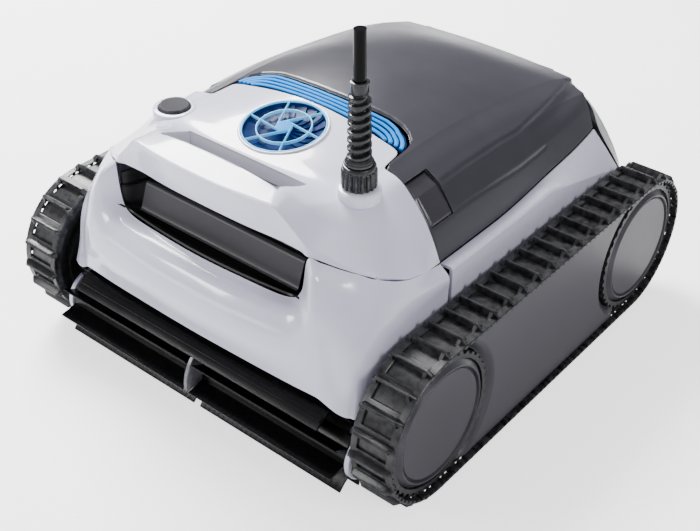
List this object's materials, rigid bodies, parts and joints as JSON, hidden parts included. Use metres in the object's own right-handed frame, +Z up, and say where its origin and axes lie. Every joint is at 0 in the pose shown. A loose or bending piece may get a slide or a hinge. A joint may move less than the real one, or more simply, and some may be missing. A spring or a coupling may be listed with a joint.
{
  "type": "robotic pool cleaner",
  "caption": "Tracked robotic pool cleaner with a front scrubbing brush, carrying handle, top outlet fan, hinged filter lid, power button and a cable gland with a short lead.",
  "frame": {"origin": "on the floor, midway between the two tracks and midway between the front and rear axles", "axes": "+X to the right-hand side seen from the front, across the tracks; -Y forwards to the brush and handle; +Z up"},
  "size_m": [0.4, 0.4313, 0.34],
  "materials": {
    "white_shell": "gloss",
    "lid_grey": "satin",
    "cover_grey": "satin",
    "dark_plastic": "matte",
    "track_rubber": "satin",
    "brush_rubber": "satin",
    "blue_plastic": "gloss",
    "button_grey": "satin",
    "cable_fittings": "satin",
    "cable_jacket": "gloss",
    "steel": "brushed",
    "gear_steel": "satin",
    "motor_metal": "satin"
  },
  "bodies": {
    "chassis": {"axle_pin_front_left": "steel", "axle_pin_front_right": "steel", "axle_pin_rear_left": "steel", "axle_pin_rear_right": "steel", "base_screw_1": "steel", "base_screw_2": "steel", "base_screw_3": "steel", "base_screw_4": "steel", "basket_seal": "brush_rubber", "brush_axle": "steel", "brush_end_plate_left": "white_shell", "brush_end_plate_right": "white_shell", "brush_hood": "dark_plastic", "brush_strap": "white_shell", "button_switch": "dark_plastic", "chassis_tray": "dark_plastic", "control_box": "dark_plastic", "deck_shell": "white_shell", "drive_motor_left": "motor_metal", "drive_motor_right": "motor_metal", "fan_grille": "blue_plastic", "filter_basket": "dark_plastic", "flow_duct": "dark_plastic", "front_shell": "white_shell", "gland_base": "white_shell", "gland_nut": "cable_fittings", "handle_well": "dark_plastic", "lid_hinge_pin": "steel", "light_band": "blue_plastic", "power_cable": "cable_jacket", "pump_motor": "motor_metal", "rear_panel": "lid_grey", "side_cover_left": "cover_grey", "side_cover_right": "cover_grey", "side_frame_left": "dark_plastic", "side_frame_right": "dark_plastic", "side_panel_left": "white_shell", "side_panel_right": "white_shell", "strain_relief": "cable_fittings", "track_left": "track_rubber", "track_right": "track_rubber"},
    "lid": {"lid": "lid_grey"},
    "power_button": {"power_button": "button_grey"},
    "propeller": {"propeller": "dark_plastic"},
    "lid_latch_left": {"lid_latch_left": "lid_grey"},
    "wheel_front_left": {"wheel_front_left": "dark_plastic", "hub_cap_front_left": "cover_grey"},
    "wheel_rear_left": {"wheel_rear_left": "dark_plastic", "hub_cap_rear_left": "cover_grey"},
    "pinion_left": {"drive_pinion_left": "gear_steel"},
    "brush_left": {"brush_left": "brush_rubber"},
    "intake_flap_left": {"intake_flap_left": "brush_rubber"},
    "lid_latch_right": {"lid_latch_right": "lid_grey"},
    "wheel_front_right": {"wheel_front_right": "dark_plastic", "hub_cap_front_right": "cover_grey"},
    "wheel_rear_right": {"wheel_rear_right": "dark_plastic", "hub_cap_rear_right": "cover_grey"},
    "pinion_right": {"drive_pinion_right": "gear_steel"},
    "brush_right": {"brush_right": "brush_rubber"},
    "intake_flap_right": {"intake_flap_right": "brush_rubber"}
  },
  "joints": [
    {"name": "lid_hinge", "type": "hinge", "parent": "chassis", "child": "lid", "pos_m": [0, 0.186, 0.1805], "axis": [-1, 0, 0], "range_deg": [0, 72]},
    {"name": "lid_latch_left_press", "type": "slide", "parent": "lid", "child": "lid_latch_left", "axis": [0.7507, 0, -0.6607], "range_m": [0, 0.0015], "stiffness_N_per_m": 900},
    {"name": "lid_latch_right_press", "type": "slide", "parent": "lid", "child": "lid_latch_right", "axis": [-0.7507, 0, -0.6607], "range_m": [0, 0.0015], "stiffness_N_per_m": 900},
    {"name": "power_button_press", "type": "slide", "parent": "chassis", "child": "power_button", "axis": [0, 0, -1], "range_m": [0, 0.002], "stiffness_N_per_m": 700},
    {"name": "propeller_spin", "type": "hinge", "parent": "chassis", "child": "propeller", "pos_m": [0, -0.092, 0.19], "axis": [0, 0, 1], "continuous": true},
    {"name": "wheel_rear_left_spin", "type": "hinge", "parent": "chassis", "child": "wheel_rear_left", "pos_m": [-0.177, 0.1455, 0.0678], "axis": [1, 0, 0], "continuous": true},
    {"name": "wheel_front_left_spin", "type": "hinge", "parent": "chassis", "child": "wheel_front_left", "pos_m": [-0.177, -0.1455, 0.0678], "axis": [1, 0, 0], "continuous": true},
    {"name": "pinion_left_spin", "type": "hinge", "parent": "chassis", "child": "pinion_left", "pos_m": [-0.166, 0.1155, 0.0678], "axis": [1, 0, 0], "continuous": true},
    {"name": "brush_left_spin", "type": "hinge", "parent": "chassis", "child": "brush_left", "pos_m": [-0.077, -0.181, 0.0405], "axis": [1, 0, 0], "continuous": true},
    {"name": "intake_flap_left_swing", "type": "hinge", "parent": "chassis", "child": "intake_flap_left", "pos_m": [-0.05, 0.018, 0.0248], "axis": [-1, 0, 0], "range_deg": [0, 48]},
    {"name": "wheel_rear_right_spin", "type": "hinge", "parent": "chassis", "child": "wheel_rear_right", "pos_m": [0.177, 0.1455, 0.0678], "axis": [1, 0, 0], "continuous": true},
    {"name": "wheel_front_right_spin", "type": "hinge", "parent": "chassis", "child": "wheel_front_right", "pos_m": [0.177, -0.1455, 0.0678], "axis": [1, 0, 0], "continuous": true},
    {"name": "pinion_right_spin", "type": "hinge", "parent": "chassis", "child": "pinion_right", "pos_m": [0.166, 0.1155, 0.0678], "axis": [1, 0, 0], "continuous": true},
    {"name": "brush_right_spin", "type": "hinge", "parent": "chassis", "child": "brush_right", "pos_m": [0.077, -0.181, 0.0405], "axis": [1, 0, 0], "continuous": true},
    {"name": "intake_flap_right_swing", "type": "hinge", "parent": "chassis", "child": "intake_flap_right", "pos_m": [0.05, 0.018, 0.0248], "axis": [-1, 0, 0], "range_deg": [0, 48]}
  ],
  "couplings": [
    {"joint": "wheel_front_left_spin", "follows": "wheel_rear_left_spin", "ratio": 1},
    {"joint": "pinion_left_spin", "follows": "wheel_rear_left_spin", "ratio": 4.4},
    {"joint": "brush_left_spin", "follows": "wheel_rear_left_spin", "ratio": 2},
    {"joint": "wheel_front_right_spin", "follows": "wheel_rear_right_spin", "ratio": 1},
    {"joint": "pinion_right_spin", "follows": "wheel_rear_right_spin", "ratio": 4.4},
    {"joint": "brush_right_spin", "follows": "wheel_rear_right_spin", "ratio": 2}
  ]
}
